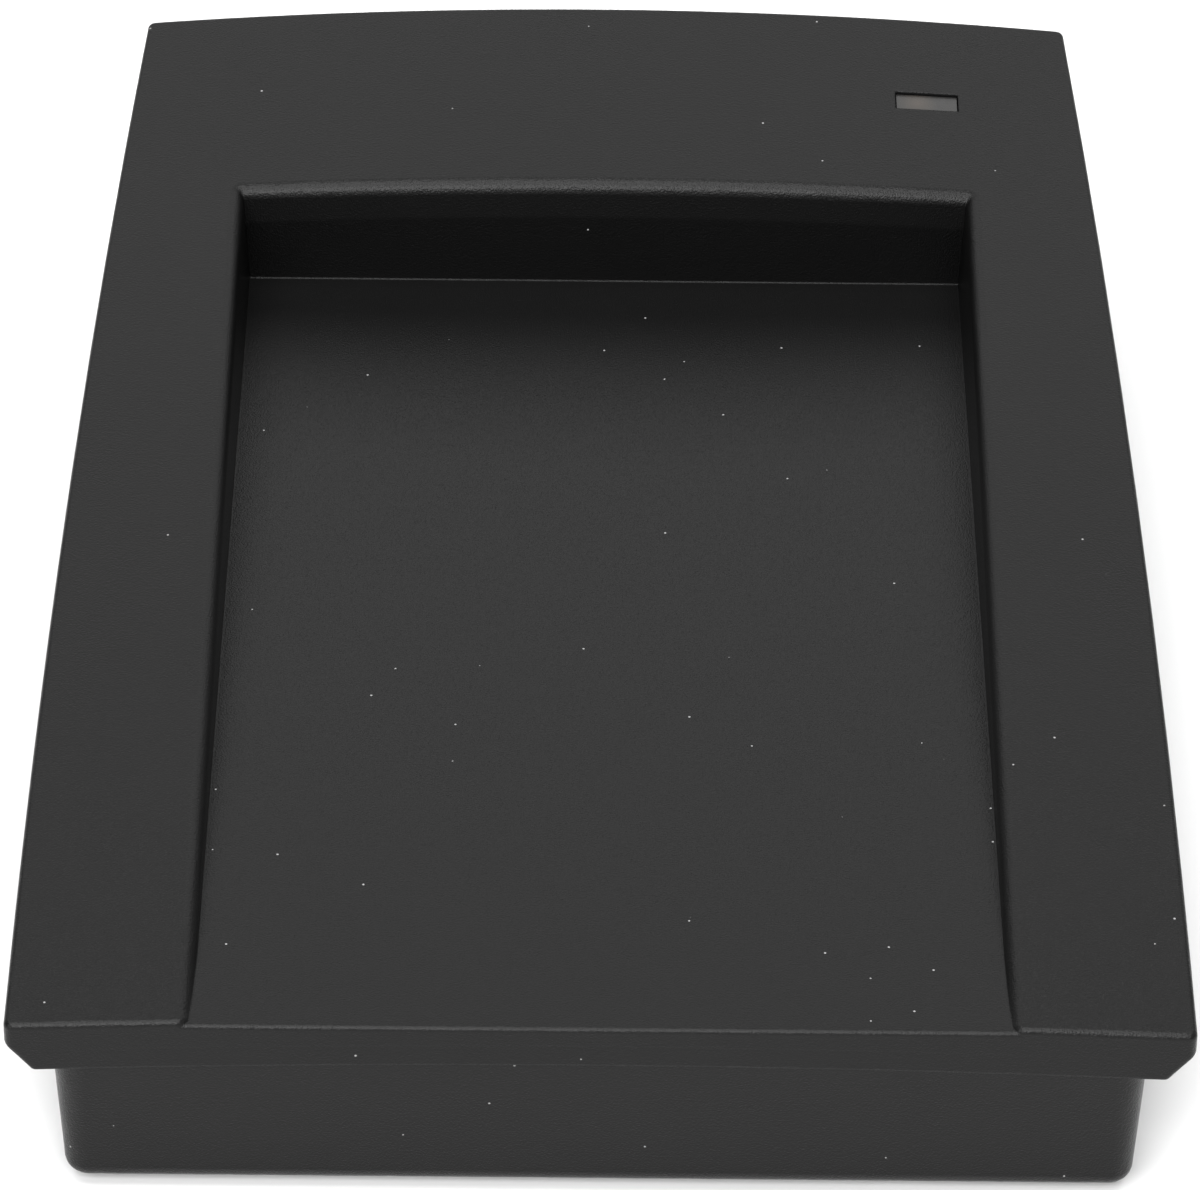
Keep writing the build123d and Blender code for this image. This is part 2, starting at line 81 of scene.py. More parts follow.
studio = {
    "floorSize": 6.0,
    "floorColour": (0.71, 0.71, 0.71, 1),
    "skyStrength": 0.36,
    # name: (place, width, depth, watts)
    "lights": {
        "keyLight": ((-0.14, -0.72, 0.60), 0.9, 0.6, 14.5),
        "topPanel": ((0.0, -0.06, 0.95), 1.0, 0.6, 10.5),
        "backPanel": ((0.0, 0.90, 0.72), 1.6, 0.8, 4.7),
    },
}


def addStudio(setup):
    scene = bpy.context.scene
    scene.view_settings.view_transform = "Standard"
    mesh = bpy.data.meshes.new("floor")
    half = setup["floorSize"] / 2
    corners = [(-half, -half, 0), (half, -half, 0), (half, half, 0), (-half, half, 0)]
    mesh.from_pydata(corners, [], [(0, 1, 2, 3)])
    floor = bpy.data.objects.new("floor", mesh)
    scene.collection.objects.link(floor)
    material = bpy.data.materials.new("floorPaper")
    material.use_nodes = True
    shader = material.node_tree.nodes["Principled BSDF"]
    shader.inputs["Base Color"].default_value = setup["floorColour"]
    shader.inputs["Roughness"].default_value = 0.9
    shader.inputs["Specular IOR Level"].default_value = 0.1
    mesh.materials.append(material)
    world = bpy.data.worlds.new("studio")
    world.use_nodes = True
    world.node_tree.nodes["Background"].inputs["Color"].default_value = (1, 1, 1, 1)
    world.node_tree.nodes["Background"].inputs["Strength"].default_value = setup["skyStrength"]
    scene.world = world
    for name, (place, width, depth, watts) in setup["lights"].items():
        light = bpy.data.lights.new(name, "AREA")
        light.shape = "RECTANGLE"
        light.size = width
        light.size_y = depth
        light.energy = watts
        lamp = bpy.data.objects.new(name, light)
        lamp.location = place
        lamp.rotation_mode = "QUATERNION"
        lamp.rotation_quaternion = (-Vector(place)).to_track_quat("-Z", "Y")
        scene.collection.objects.link(lamp)


addCamera(cameraSetup)
addStudio(studio)
print("camera and studio set")


# Finishes. Every pattern reads Object coordinates, which are metres in the part's own frame


# A node with its settings made, and each input either linked to a socket or given a value
def makeNode(tree, kind, inputs=None, **settings):
    node = tree.nodes.new(kind)
    for key, value in settings.items():
        setattr(node, key, value)
    for key, value in (inputs or {}).items():
        if isinstance(value, bpy.types.NodeSocket):
            tree.links.new(value, node.inputs[key])
        else:
            node.inputs[key].default_value = value
    return node


def addNode(tree, kind, inputs=None, **settings):
    return makeNode(tree, "ShaderNode" + kind, inputs, **settings)


def startMaterial(name):
    material = bpy.data.materials.new(name)
    material.use_nodes = True
    tree = material.node_tree
    place = addNode(tree, "TexCoord").outputs["Object"]
    return material, tree, tree.nodes["Principled BSDF"], place


def noise(tree, place, size, detail=2.0, roughness=0.5):
    inputs = {"Vector": place, "Scale": 1 / size, "Detail": detail, "Roughness": roughness}
    return addNode(tree, "TexNoise", inputs).outputs["Fac"]


def remap(tree, value, low, high, toLow=0.0, toHigh=1.0):
    inputs = {"Value": value, "From Min": low, "From Max": high, "To Min": toLow, "To Max": toHigh}
    return addNode(tree, "MapRange", inputs).outputs["Result"]


def calc(tree, operation, a, b=0.0, c=0.0):
    return addNode(tree, "Math", {0: a, 1: b, 2: c}, operation=operation).outputs[0]


def product(tree, first, *others):
    for other in others:
        first = calc(tree, "MULTIPLY", first, other)
    return first


def blendColour(tree, amount, first, second):
    # sockets 6, 7 and 2 are the colour ones of this node
    return addNode(tree, "Mix", {0: amount, 6: first, 7: second}, data_type="RGBA").outputs[2]


def grey(level):
    return (level, level, level, 1)


def bump(tree, height, depth, normal=None):
    inputs = {"Height": height, "Distance": depth, "Strength": 1.0}
    if normal is not None:
        inputs["Normal"] = normal
    return addNode(tree, "Bump", inputs).outputs["Normal"]


casePlastic = {
    "colour": 0.0025,
    "specular": 0.19,
    "roughness": (0.28, 0.37),
    "grainSize": 0.11 * mm,
    "pebbleSize": 0.16 * mm,
    "pebbleShare": 0.45,
    "grainDepth": 0.032 * mm,
    "mottlePaler": (0.35, 1.8),  # how much of the paler colour, and how many times paler it is
    "blotchSize": 9 * mm,
    "edgeRadius": 0.22 * mm,
    "wearSize": 1.6 * mm,
    "wearPaler": (0.5, 3),  # the same two for rubbed edges
    "wearSmoother": 0.12,
}
# Painted shade on the lower part of the tray's back wall, down in the recess
trayWallShade = {
    "unshadedReach": 2.75 * mm,  # how far below the crowned top the wall is left without the painted shade
    "fade": 0.35 * mm,
    "shade": 0.45,  # how dark the painted shade makes the wall below that, beside the deck
    "frontHeight": 16.15 * mm,  # the crown's middle line at the front and back edges
    "backHeight": 26.10 * mm,
    "frontRadius": 900 * mm,  # the crown's radius across the case
    "backRadius": 440 * mm,
    "near": 30.0 * mm,  # the back wall lies between these two, and within half a width of the middle
    "far": 33.6 * mm,
    "halfWidth": 28 * mm,
}
dust = {
    "cell": 1.5 * mm,
    "reach": 0.055,  # a speck's radius, of its cell
    "share": 0.16,  # of the cells that hold a speck
    "colour": 0.30,
    "cover": 0.8,
}


# Edges that have rubbed a little: where the rounded normal leaves the flat one, in patches
def wornEdges(tree, place, rounded, flat, values):
    facing = addNode(tree, "VectorMath", {0: rounded, 1: flat}, operation="DOT_PRODUCT").outputs["Value"]
    patchy = remap(tree, noise(tree, place, values["wearSize"], 3.0), 0.42, 0.62)
    return product(tree, remap(tree, facing, 0.995, 0.90), patchy)


# Painted shade: 1 on the tray's back wall below the band left unshaded, whose depth is measured down from
# the crown
def paintedWallShade(tree, place, flat, values):
    front, back = (corner.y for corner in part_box("top_cover"))
    axes = addNode(tree, "SeparateXYZ", {"Vector": place}).outputs
    along = calc(tree, "DIVIDE", calc(tree, "SUBTRACT", axes[1], front), back - front)
    bend = remap(tree, along, 0, 1, 0.5 / values["frontRadius"], 0.5 / values["backRadius"])
    middle = remap(tree, along, 0, 1, values["frontHeight"], values["backHeight"])
    crown = calc(tree, "SUBTRACT", middle, product(tree, axes[0], axes[0], bend))
    depth = calc(tree, "SUBTRACT", crown, axes[2])
    below = remap(tree, depth, values["unshadedReach"], values["unshadedReach"] + values["fade"])
    steep = remap(tree, addNode(tree, "SeparateXYZ", {"Vector": flat}).outputs[2], 0.5, 0.3)
    beforeFar = calc(tree, "LESS_THAN", axes[1], values["far"])
    pastNear = calc(tree, "GREATER_THAN", axes[1], values["near"])
    between = calc(tree, "LESS_THAN", calc(tree, "ABSOLUTE", axes[0]), values["halfWidth"])
    return product(tree, below, steep, beforeFar, pastNear, between)


def dustSpecks(tree, place, values):
    cells = addNode(tree, "TexVoronoi", {"Vector": place, "Scale": 1 / values["cell"], "Randomness": 1.0})
    small = calc(tree, "LESS_THAN", cells.outputs["Distance"], values["reach"])
    drawn = addNode(tree, "SeparateColor", {"Color": cells.outputs["Color"]}).outputs[0]
    return product(tree, small, calc(tree, "LESS_THAN", drawn, values["share"]))


def caseMaterial(name, values):
    material, tree, shader, place = startMaterial(name)
    link = tree.links.new
    fine = noise(tree, place, values["grainSize"], 1.0)
    cells = addNode(tree, "TexVoronoi", {"Vector": place, "Scale": 1 / values["pebbleSize"]})
    grain = calc(tree, "MULTIPLY_ADD", cells.outputs["Distance"], values["pebbleShare"], fine)
    rounded = addNode(tree, "Bevel", {"Radius": values["edgeRadius"]}, samples=6).outputs["Normal"]
    flat = addNode(tree, "NewGeometry").outputs["Normal"]
    wear = wornEdges(tree, place, rounded, flat, values)
    blotch = noise(tree, place, values["blotchSize"], 4.0, 0.6)

    colour = values["colour"]
    base = blendColour(tree, remap(tree, blotch, 0.3, 0.7), grey(colour * 0.95), grey(colour * 1.06))
    for spread, (amount, paler) in (
        (remap(tree, fine, 0.35, 0.7), values["mottlePaler"]),
        (wear, values["wearPaler"]),
    ):
        base = blendColour(tree, product(tree, spread, amount), base, grey(colour * paler))
    # painted shade darkens the lower part of the tray's back wall
    low = paintedWallShade(tree, place, flat, trayWallShade)
    base = blendColour(tree, low, base, grey(colour * trayWallShade["shade"]))
    specks = product(tree, dustSpecks(tree, place, dust), dust["cover"])
    base = blendColour(tree, specks, base, grey(dust["colour"]))

    rough = calc(tree, "MULTIPLY_ADD", blotch, 0.15, fine)
    rough = remap(tree, rough, 0.35, 0.80, *values["roughness"])
    rough = calc(tree, "SUBTRACT", rough, product(tree, wear, values["wearSmoother"]))
    link(base, shader.inputs["Base Color"])
    link(rough, shader.inputs["Roughness"])
    link(bump(tree, grain, values["grainDepth"], rounded), shader.inputs["Normal"])
    shader.inputs["Specular IOR Level"].default_value = values["specular"]
    return material


simpleFinishes = {
    # slot: base colour, second colour, metallic, roughness range, grain size and depth in mm
    "rubber_foot": ((0.018, 0.018, 0.018), (0.035, 0.034, 0.033), 0, (0.72, 0.9), 0.35, 0.03),
    "chip_plastic": ((0.012, 0.012, 0.013), (0.022, 0.022, 0.023), 0, (0.45, 0.6), 0.12, 0.01),
    "pale_plastic": ((0.46, 0.45, 0.41), (0.52, 0.51, 0.47), 0, (0.35, 0.5), 0.5, 0.006),
    "ceramic": ((0.30, 0.19, 0.11), (0.40, 0.27, 0.17), 0, (0.4, 0.6), 0.2, 0.008),
    "tinned_metal": ((0.62, 0.62, 0.60), (0.76, 0.76, 0.74), 1, (0.22, 0.4), 0.3, 0.006),
    "nickel": ((0.58, 0.56, 0.52), (0.68, 0.66, 0.62), 1, (0.20, 0.36), 0.25, 0.004),
    "gold_contact": ((0.76, 0.52, 0.20), (0.86, 0.64, 0.30), 1, (0.18, 0.32), 0.2, 0.003),
    "can_aluminium": ((0.72, 0.72, 0.74), (0.82, 0.82, 0.84), 1, (0.25, 0.4), 0.3, 0.006),
    "screw_steel": ((0.10, 0.10, 0.105), (0.17, 0.17, 0.175), 1, (0.3, 0.48), 0.15, 0.006),
    "copper_track": ((0.05, 0.22, 0.09), (0.08, 0.28, 0.12), 0, (0.25, 0.4), 0.4, 0.006),
}


def simpleMaterial(name, values):
    first, second, metallic, roughness, size, depth = values
    material, tree, shader, place = startMaterial(name)
    link = tree.links.new
    fine = noise(tree, place, size * mm, 3.0, 0.6)
    patches = noise(tree, place, 12 * size * mm, 3.0, 0.55)  # the colour drifts over twelve grains
    base = blendColour(tree, remap(tree, patches, 0.35, 0.65), (*first, 1), (*second, 1))
    link(base, shader.inputs["Base Color"])
    link(remap(tree, fine, 0.3, 0.7, *roughness), shader.inputs["Roughness"])
    link(bump(tree, fine, depth * mm), shader.inputs["Normal"])
    shader.inputs["Metallic"].default_value = metallic
    return material


lensSmoke = {
    "colour": (0.0145, 0.0141, 0.0137, 1),
    # a painted warm glint on the lens, where the LED die behind it shows through
    "glintColour": (0.036, 0.029, 0.023, 1),
    "glintAt": 0.38,  # of the window's width, from its left end
    "glintRadius": 1.6 * mm,
    "roughness": (0.22, 0.34),
    "smearSize": 0.6 * mm,
}


def lensMaterial(name, values):
    material, tree, shader, place = startMaterial(name)
    link = tree.links.new
    low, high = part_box("status_lens")
    lamp = (low.x + values["glintAt"] * (high.x - low.x), (low.y + high.y) / 2, high.z)
    away = addNode(tree, "VectorMath", {0: place, 1: lamp}, operation="DISTANCE").outputs["Value"]
    # painted glint: warm colour laid on round a point of the lens
    paintedGlint = remap(tree, away, values["glintRadius"], 0.0)
    link(blendColour(tree, paintedGlint, values["colour"], values["glintColour"]), shader.inputs["Base Color"])
    smear = noise(tree, place, values["smearSize"], 3.0)
    link(remap(tree, smear, 0.3, 0.7, *values["roughness"]), shader.inputs["Roughness"])
    link(bump(tree, smear, 0.004 * mm), shader.inputs["Normal"])
    return material


boardMask = {
    "dark": (0.008, 0.075, 0.030, 1),
    "light": (0.016, 0.125, 0.050, 1),  # over the copper
    "trackPitch": 1.3 * mm,
    "trackHeight": 0.03 * mm,
    "patchSize": 7 * mm,
    "weaveSize": 0.5 * mm,
    "roughness": (0.25, 0.38),
}


def boardMaterial(name, values):
    material, tree, shader, place = startMaterial(name)
    link = tree.links.new
    grid = {"Vector": place, "Scale": 1 / values["trackPitch"], "Mortar Size": 0.16, "Brick Width": 3.7}
    lattice = addNode(tree, "TexBrick", {**grid, "Row Height": 1.0}).outputs["Fac"]
    patches = remap(tree, noise(tree, place, values["patchSize"]), 0.48, 0.52)
    track = product(tree, lattice, patches)
    weave = noise(tree, place, values["weaveSize"])
    height = calc(tree, "MULTIPLY_ADD", weave, 0.2, track)
    link(blendColour(tree, track, values["dark"], values["light"]), shader.inputs["Base Color"])
    link(bump(tree, height, values["trackHeight"]), shader.inputs["Normal"])
    link(remap(tree, weave, 0.3, 0.7, *values["roughness"]), shader.inputs["Roughness"])
    return material


labelFilm = {
    "film": (0.62, 0.62, 0.60, 1),
    "line": (0.08, 0.08, 0.08, 1),
    "border": 1.2 * mm,  # from the label's edge to the printed line
    "lineWidth": 0.25 * mm,
    "fibreSize": 0.4 * mm,
    "roughness": (0.38, 0.55),
}


def labelMaterial(name, values):
    material, tree, shader, place = startMaterial(name)
    link = tree.links.new
    low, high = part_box("blank_label")
    axes = addNode(tree, "SeparateXYZ", {"Vector": place}).outputs
    inside = None
    for axis in (0, 1):
        middle, half = (low[axis] + high[axis]) / 2, (high[axis] - low[axis]) / 2
        away = calc(tree, "ABSOLUTE", calc(tree, "SUBTRACT", axes[axis], middle))
        toEdge = calc(tree, "SUBTRACT", half - values["border"], away)
        inside = toEdge if inside is None else calc(tree, "MINIMUM", inside, toEdge)
    line = calc(tree, "LESS_THAN", calc(tree, "ABSOLUTE", inside), values["lineWidth"] / 2)
    fibre = noise(tree, place, values["fibreSize"], 4.0, 0.7)
    film = blendColour(tree, remap(tree, fibre, 0.3, 0.7), values["film"], grey(0.70))
    link(blendColour(tree, line, film, values["line"]), shader.inputs["Base Color"])
    link(remap(tree, fibre, 0.3, 0.7, *values["roughness"]), shader.inputs["Roughness"])
    link(bump(tree, fibre, 0.006 * mm), shader.inputs["Normal"])
    return material


finishes = {name: simpleMaterial(name, values) for name, values in simpleFinishes.items()}
finishes["case_plastic"] = caseMaterial("case_plastic", casePlastic)
finishes["smoked_lens"] = lensMaterial("smoked_lens", lensSmoke)
finishes["board"] = boardMaterial("board", boardMask)
finishes["label_film"] = labelMaterial("label_film", labelFilm)
print("finishes made:", len(finishes))

slotOf = {row["node"]: row["material_slot"] for row in frame["record"]["subparts"]}
for nodeName, thing in nodes.items():
    thing.data.materials.clear()
    thing.data.materials.append(finishes[slotOf[nodeName]])
print("node finishes assigned")


# Shared mesh work for the pieces


creaseAngle = 35  # degrees; a sharper edge stays crisp under smooth shading


def smooth(mesh, angle=creaseAngle):
    mesh.shade_smooth()
    mesh.set_sharp_from_angle(angle=math.radians(angle))


def finishMesh(work, name, angle=creaseAngle):
    bmesh.ops.recalc_face_normals(work, faces=work.faces)
    mesh = bpy.data.meshes.new(name)
    work.to_mesh(mesh)
    work.free()
    smooth(mesh, angle)
    return mesh


# A closed body of rings round Z, where a ring of no radius becomes a single point
def turned(work, rings, steps, radiusAt):
    previous = None
    for index, height in enumerate(rings):
        radii = [radiusAt(index, 2 * math.pi * k / steps) for k in range(steps)]
        if max(radii) < 1e-9:
            ring = [work.verts.new((0, 0, height))]
        else:
            ring = []
            for k, radius in enumerate(radii):
                angle = 2 * math.pi * k / steps
                ring.append(work.verts.new((radius * math.cos(angle), radius * math.sin(angle), height)))
        if previous:
            for k in range(steps):
                low = [previous[k % len(previous)], previous[(k + 1) % steps % len(previous)]]
                high = [ring[(k + 1) % steps % len(ring)], ring[k % len(ring)]]
                corners = list(dict.fromkeys(low + high))
                if len(corners) > 2:
                    work.faces.new(corners)
        previous = ring


# The thing's mesh with its modifiers worked in. The thing itself is removed
def evaluated(thing, name):
    bpy.context.view_layer.update()
    graph = bpy.context.evaluated_depsgraph_get()
    mesh = bpy.data.meshes.new_from_object(thing.evaluated_get(graph))
    mesh.name = name
    old = thing.data
    bpy.data.objects.remove(thing)
    bpy.data.meshes.remove(old)
    return mesh


def showMesh(mesh, name):
    thing = bpy.data.objects.new(name, mesh)
    bpy.context.scene.collection.objects.link(thing)
    return thing


# The mesh with the cutter taken away from it
def carve(mesh, cutterMesh, name):
    body, cutter = showMesh(mesh, name + "Body"), showMesh(cutterMesh, name + "Cutter")
    change = body.modifiers.new("carve", "BOOLEAN")
    change.operation = "DIFFERENCE"
    change.solver = "EXACT"
    change.object = cutter
    result = evaluated(body, name)
    bpy.data.objects.remove(cutter)
    bpy.data.meshes.remove(cutterMesh)
    return result


def startTree(name, inputs):
    tree = bpy.data.node_groups.new(name, "GeometryNodeTree")
    add = tree.interface.new_socket
    add("Geometry", in_out="INPUT", socket_type="NodeSocketGeometry")
    for label, kind in inputs:
        add(label, in_out="INPUT", socket_type="NodeSocket" + kind)
    add("Geometry", in_out="OUTPUT", socket_type="NodeSocketGeometry")
    return tree, tree.nodes.new("NodeGroupInput").outputs


def finishTree(tree, geometry, material):
    real = makeNode(tree, "GeometryNodeRealizeInstances", {0: geometry}).outputs[0]
    done = makeNode(tree, "GeometryNodeSetMaterial", {"Geometry": real, "Material": material}).outputs[0]
    leave = tree.nodes.new("NodeGroupOutput")
    tree.links.new(done, leave.inputs[0])


# Runs the tree on a mesh of points and keeps the result as a plain mesh object
def growTree(tree, points, values, name):
    start = bpy.data.meshes.new(name + "Points")
    start.from_pydata(points, [], [])
    thing = showMesh(start, name + "Start")
    change = thing.modifiers.new("grow", "NODES")
    change.node_group = tree
    for socket in tree.interface.items_tree:
        if socket.in_out == "INPUT" and socket.name in values:
            change[socket.identifier] = values[socket.name]
    mesh = evaluated(thing, name)
    smooth(mesh)
    return showMesh(mesh, name)


def settle(piece, slotName, *stoodFor):
    piece.data.materials.clear()
    piece.data.materials.append(finishes[slotName])
    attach(piece, "root")
    if stoodFor:
        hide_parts(*stoodFor)
    print("piece made:", piece.name, len(piece.data.polygons), "faces")


# Screws: pan heads with a cross recess and a helical thread, each set spun a little differently

screwSets = {
    # lengths in mm; a seat is where the underside of a head sits
    "caseScrews": {
        "seats": [(-31.5, -48.0, 4.5), (31.5, -48.0, 4.5), (-28.2, 48.9, 4.5), (28.2, 48.9, 4.5)],
        "headUp": False,
        "radius": 1.26,
        "length": 8.0,
        "headRadius": 2.2,
        "headHeight": 1.7,
        "pitch": 1.0,
        "slot": "screw_steel",
        "node": "case_screws",
    },
    "boardScrews": {
        "seats": [(-26.0, 8.0, 7.6), (26.0, 8.0, 7.6), (-26.0, 36.0, 7.6), (26.0, 36.0, 7.6)],
        "headUp": True,
        "radius": 1.06,
        "length": 5.0,
        "headRadius": 2.0,
        "headHeight": 1.3,
        "pitch": 0.85,
        "slot": "tinned_metal",
        "node": "board_screws",
    },
    "antennaScrews": {
        "seats": [(-20.0, -46.0, 10.0), (20.0, -46.0, 10.0), (-20.0, 0.0, 10.0), (20.0, 0.0, 10.0)],
        "headUp": False,
        "radius": 0.86,
        "length": 3.5,
        "headRadius": 1.7,
        "headHeight": 1.1,
        "pitch": 0.7,
        "slot": "tinned_metal",
        "node": "antenna_screws",
    },
}
screwShape = {
    "steps": 36,
    "ringsPerTurn": 8,
    "threadDepth": 0.16,  # of the shank's radius
    "ridge": 0.28,  # half the ridge's width, of the pitch
    "runIn": 0.6,  # the thread reaches its full height this far below the head, of the pitch
    "tipLength": 1.4,
    "tipRadius": 0.35,  # of the shank's radius
    "recessReach": 0.62,  # the cross, of the head's radius and height
    "recessWidth": 0.16,
    "recessDepth": 0.62,
    "recessTaper": (1.1, 0.62),  # the cross's size above the head and at its bottom
}
screwSeed = 11


def screwMesh(name, values, shape):
    radius, length, pitch = values["radius"], values["length"], values["pitch"]
    wide, tall = values["headRadius"], values["headHeight"]
    head = [(0, -tall), (0.30 * wide, -0.985 * tall), (0.60 * wide, -0.92 * tall)]
    head += [(0.82 * wide, -0.78 * tall), (0.95 * wide, -0.55 * tall), (wide, -0.30 * tall)]
    head += [(wide, -0.04 * tall), (0.98 * wide, 0)]
    rings = [height for _, height in head]
    reaches = [reach for reach, _ in head]
    stretch = pitch / shape["ringsPerTurn"]
    count = int((length - 0.1) / stretch)
    rings += [stretch * k for k in range(count)] + [length]

    def radiusAt(index, angle):
        if index < len(reaches):
            return reaches[index] * mm
        height = rings[index]
        if index == len(rings) - 1:
            return 0
        turn = (height / pitch - angle / (2 * math.pi)) % 1
        ridge = max(0, 1 - abs(turn - 0.5) / shape["ridge"])
        start = min(1, height / (shape["runIn"] * pitch))
        taper = min(1, shape["tipRadius"] + (length - height) / shape["tipLength"])
        core = radius * (1 - shape["threadDepth"])
        return (core + (radius - core) * ridge * start) * taper * mm

    work = bmesh.new()
    turned(work, [height * mm for height in rings], shape["steps"], radiusAt)
    body = finishMesh(work, name + "Plain")
    work = bmesh.new()
    a, b = shape["recessReach"] * wide, shape["recessWidth"] * wide
    quarter = [(a, -b), (a, b), (b, b)]
    outline = []
    for _ in range(4):
        outline += quarter
        quarter = [(-y, x) for x, y in quarter]
    levels = zip((-1.2 * tall, -(1 - shape["recessDepth"]) * tall), shape["recessTaper"])
    upper, lower = (
        [work.verts.new((x * grow * mm, y * grow * mm, z * mm)) for x, y in outline] for z, grow in levels
    )
    for k in range(len(outline)):
        n = (k + 1) % len(outline)
        work.faces.new((upper[k], upper[n], lower[n], lower[k]))
    work.faces.new(upper)
    work.faces.new(lower)
    return carve(body, finishMesh(work, name + "Cross"), name)


def screwTree(material):
    inputs = [("Screw", "Object"), ("Size", "Float"), ("Flip", "Float")]
    inputs += [("Most Turn", "Float"), ("Seed", "Int")]
    tree, enter = startTree("screwSet", inputs)
    screw = makeNode(tree, "GeometryNodeObjectInfo", {"Object": enter["Screw"], "As Instance": True})
    spin = makeNode(tree, "FunctionNodeRandomValue", {"Seed": enter["Seed"]}, data_type="FLOAT")
    tree.links.new(enter["Most Turn"], spin.inputs[3])
    turn = makeNode(tree, "ShaderNodeCombineXYZ", {"X": enter["Flip"], "Z": spin.outputs[1]}).outputs[0]
    rotation = makeNode(tree, "FunctionNodeEulerToRotation", {0: turn}).outputs[0]
    seats = {"Points": enter["Geometry"], "Instance": screw.outputs["Geometry"], "Scale": enter["Size"]}
    placed = makeNode(tree, "GeometryNodeInstanceOnPoints", {**seats, "Rotation": rotation})
    finishTree(tree, placed.outputs[0], material)
    return tree


for setName, values in screwSets.items():
    pattern = showMesh(screwMesh(setName + "Pattern", values, screwShape), setName + "Pattern")
    seats = [[c * mm for c in seat] for seat in values["seats"]]
    flip = math.pi if values["headUp"] else 0.0
    inputs = {"Screw": pattern, "Size": 1.0, "Flip": flip, "Most Turn": 2 * math.pi, "Seed": screwSeed}
    piece = growTree(screwTree(finishes[values["slot"]]), seats, inputs, setName)
    bpy.data.objects.remove(pattern)
    settle(piece, values["slot"], values["node"])


# Rubber feet: a dished disc with rings of small pips that grip the table

footNodes = ("foot_front_left", "foot_front_right", "foot_back_left", "foot_back_right")
footBoxes = [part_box(node) for node in footNodes]
footShape = {
    # lengths in mm
    "radius": (footBoxes[0][1].y - footBoxes[0][0].y) / 2 / mm,
    "top": footBoxes[0][1].z / mm,
    "pipHeight": 0.22,
    "pipRadius": 0.30,
    "discSteps": 64,
    "pipSteps": 12,
    "rings": {"Inner": (1.2, 6), "Middle": (2.3, 12), "Outer": (3.4, 18)},  # radius, number of pips
    "seed": 5,
}


def footDisc(values):
    wide, tall, low = values["radius"], values["top"], values["pipHeight"]
    profile = [(0, low + 0.10), (1.0, low + 0.06), (3.0, low), (wide - 0.45, low)]
    profile += [(wide - 0.20, low + 0.05), (wide - 0.06, low + 0.18), (wide, low + 0.42)]
    profile += [(wide, tall - 0.06), (wide - 0.06, tall), (0, tall)]
    work = bmesh.new()
    steps = values["discSteps"]
    turned(work, [z * mm for _, z in profile], steps, lambda index, angle: profile[index][0] * mm)
    return finishMesh(work, "footDisc")


def footPip(values):
    wide, tall = values["pipRadius"], values["pipHeight"]
    profile = [(0, 0), (0.45 * wide, 0.02 * tall), (0.75 * wide, 0.18 * tall), (0.95 * wide, 0.5 * tall)]
    profile += [(wide, 1.0 * tall), (wide, 1.6 * tall), (0, 1.6 * tall)]
    work = bmesh.new()
    steps = values["pipSteps"]
    turned(work, [z * mm for _, z in profile], steps, lambda index, angle: profile[index][0] * mm)
    return finishMesh(work, "footPip")


def footTree(values, material):
    inputs = [("Disc", "Object"), ("Pip", "Object"), ("Seed", "Int")]
    for ring in values["rings"]:
        inputs += [(f"{ring} Radius", "Float"), (f"{ring} Count", "Int")]
    tree, enter = startTree("rubberFeet", inputs)
    infos = [{"Object": enter[label], "As Instance": True} for label in ("Disc", "Pip")]
    disc, pip = (makeNode(tree, "GeometryNodeObjectInfo", info).outputs["Geometry"] for info in infos)
    join = makeNode(tree, "GeometryNodeJoinGeometry", {0: disc})
    for ring in values["rings"]:
        sizes = {"Vertices": enter[f"{ring} Count"], "Radius": enter[f"{ring} Radius"]}
        circle = makeNode(tree, "GeometryNodeMeshCircle", sizes).outputs[0]
        pips = makeNode(tree, "GeometryNodeInstanceOnPoints", {"Points": circle, "Instance": pip})
        tree.links.new(pips.outputs[0], join.inputs[0])
    foot = makeNode(tree, "GeometryNodeGeometryToInstance", {0: join.outputs[0]}).outputs[0]
    spin = makeNode(tree, "FunctionNodeRandomValue", {"Seed": enter["Seed"]}, data_type="FLOAT")
    spin.inputs[3].default_value = 2 * math.pi
    turn = makeNode(tree, "ShaderNodeCombineXYZ", {"Z": spin.outputs[1]}).outputs[0]
    rotation = makeNode(tree, "FunctionNodeEulerToRotation", {0: turn}).outputs[0]
    spots = {"Points": enter["Geometry"], "Instance": foot, "Rotation": rotation}
    placed = makeNode(tree, "GeometryNodeInstanceOnPoints", spots)
    finishTree(tree, placed.outputs[0], material)
    return tree


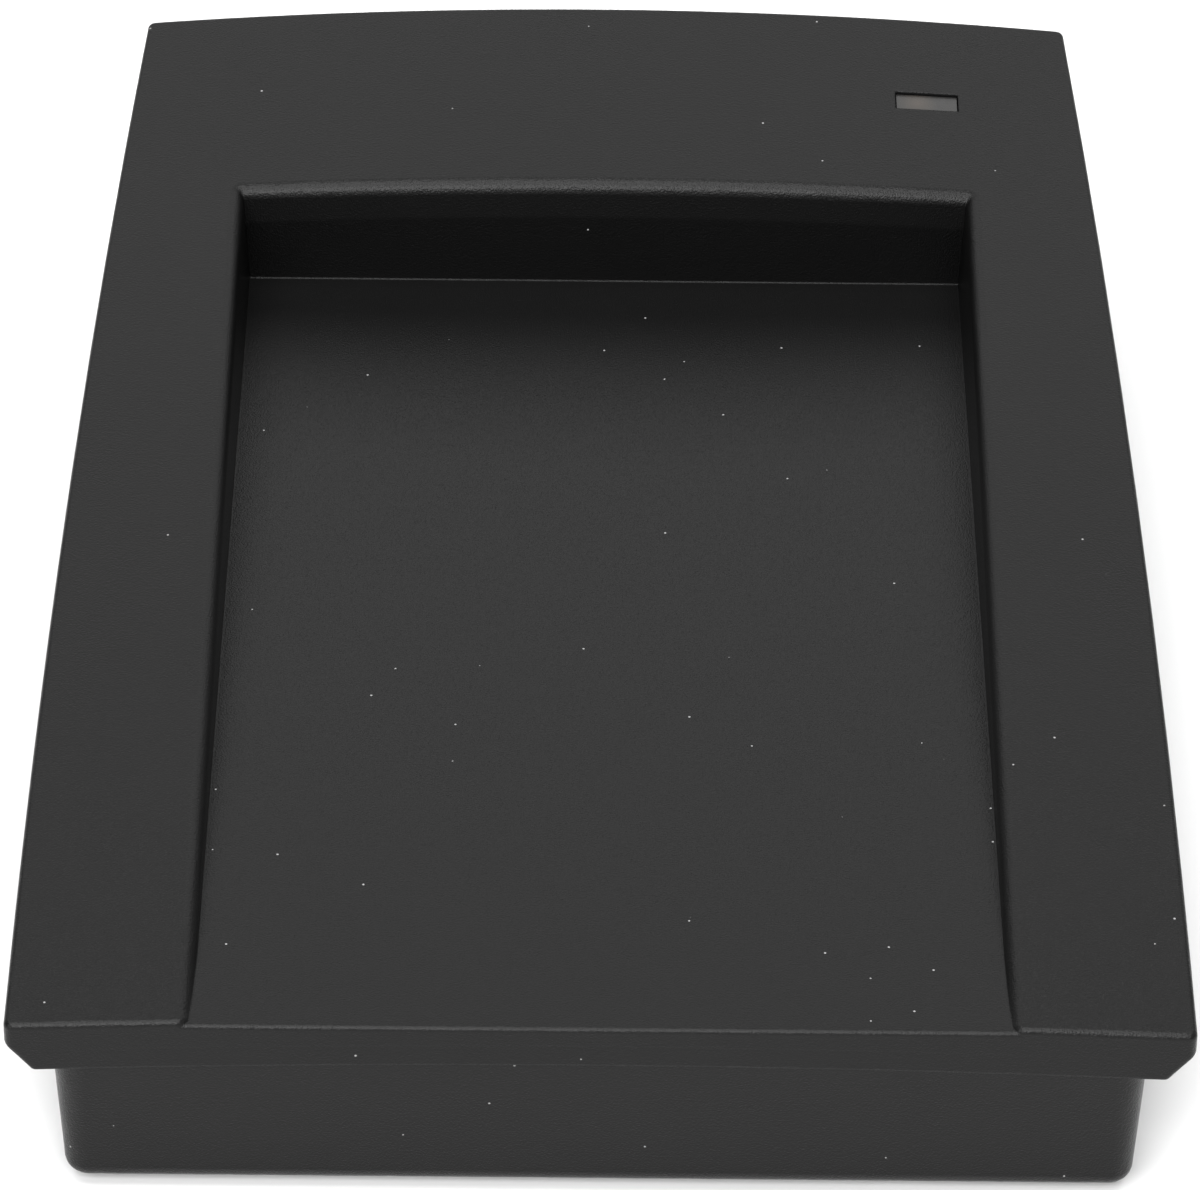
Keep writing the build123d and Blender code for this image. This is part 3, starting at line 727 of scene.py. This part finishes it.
discPattern = showMesh(footDisc(footShape), "discPattern")
pipPattern = showMesh(footPip(footShape), "pipPattern")
footInputs = {"Disc": discPattern, "Pip": pipPattern, "Seed": footShape["seed"]}
for ring, (reach, count) in footShape["rings"].items():
    footInputs[f"{ring} Radius"] = reach * mm
    footInputs[f"{ring} Count"] = count
footSpots = [((low.x + high.x) / 2, (low.y + high.y) / 2, 0) for low, high in footBoxes]
rubberFeet = growTree(footTree(footShape, finishes["rubber_foot"]), footSpots, footInputs, "rubberFeet")
for pattern in (discPattern, pipPattern):
    bpy.data.objects.remove(pattern)
settle(rubberFeet, "rubber_foot", *footNodes)


# USB socket's shell: a folded tube with rounded corners and a lip turned out at its mouth

socketShell = {
    # in mm, apart from the box, which is the frame's
    "box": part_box("usb_shell"),
    "sheet": 0.4,
    "corner": 0.9,
    "lip": 0.16,  # how far the tube's body stays inside the lip
}


def roundedRing(halfWidth, bottom, top, corner, count=6):
    ring = []
    for cx, cz, start in ((1, 1, 0), (-1, 1, 90), (-1, -1, 180), (1, -1, 270)):
        x = cx * (halfWidth - corner)
        z = (top - corner) if cz > 0 else (bottom + corner)
        for k in range(count + 1):
            angle = math.radians(start + 90 * k / count)
            ring.append((x + corner * math.cos(angle), z + corner * math.sin(angle)))
    return ring


def shellMesh(values):
    near, far = (corner / mm for corner in values["box"])
    wide, low, high = far.x, near.z, far.z
    inner, mouth = near.y, far.y
    sheet, lip, corner = values["sheet"], values["lip"], values["corner"]
    # each point is a place along the tube and how far in from its outside, out to the mouth and back inside
    path = [(inner, lip), (mouth - 1.3, lip), (mouth - 0.9, lip * 0.5), (mouth - 0.6, 0), (mouth - 0.12, 0)]
    path += [(mouth, 0.10), (mouth, sheet - 0.10), (mouth - 0.10, sheet), (inner, sheet)]
    work = bmesh.new()
    loops = []
    for y, inset in path:
        ring = roundedRing(wide - inset, low + inset, high - inset, max(corner - inset, 0.3))
        loops.append([work.verts.new((x * mm, y * mm, z * mm)) for x, z in ring])
    loops.append(loops[0])
    for one, two in zip(loops, loops[1:]):
        for k in range(len(one)):
            n = (k + 1) % len(one)
            work.faces.new((one[k], one[n], two[n], two[k]))
    return finishMesh(work, "socketShell", 30)


settle(showMesh(shellMesh(socketShell), "socketShell"), "nickel", "usb_shell")
